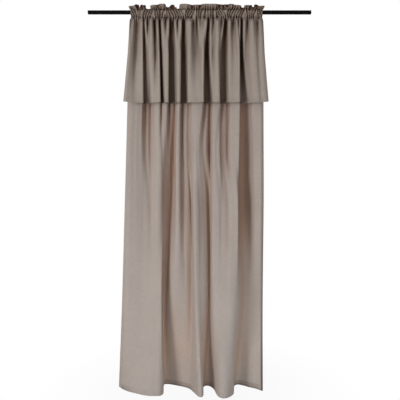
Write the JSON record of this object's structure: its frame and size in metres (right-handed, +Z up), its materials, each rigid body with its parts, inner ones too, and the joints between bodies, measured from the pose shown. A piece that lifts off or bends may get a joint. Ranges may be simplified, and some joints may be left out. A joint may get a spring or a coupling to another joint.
{
  "type": "curtain with valance on a rod",
  "caption": "Long rod-pocket curtain with a frilled heading and a shorter valance in front, hanging gathered on a straight round rod with flush end caps.",
  "frame": {"origin": "on the rod's axis, half way along the rod: the line that the brackets hold", "axes": "+X along the rod to the right as seen from the room, +Y away from the room towards the window, +Z up"},
  "size_m": [1.38, 0.1667, 2.3995],
  "materials": {
    "curtain_cloth": "plain woven cloth, matte, taupe",
    "rod_enamel": "satin black enamel on steel tube",
    "cap_plastic": "moulded black plastic"
  },
  "bodies": {
    "root": {"valance": "curtain_cloth", "main_panel": "curtain_cloth", "curtain_rod": "rod_enamel", "rod_end_cap_left": "cap_plastic", "rod_end_cap_right": "cap_plastic"}
  },
  "joints": []
}
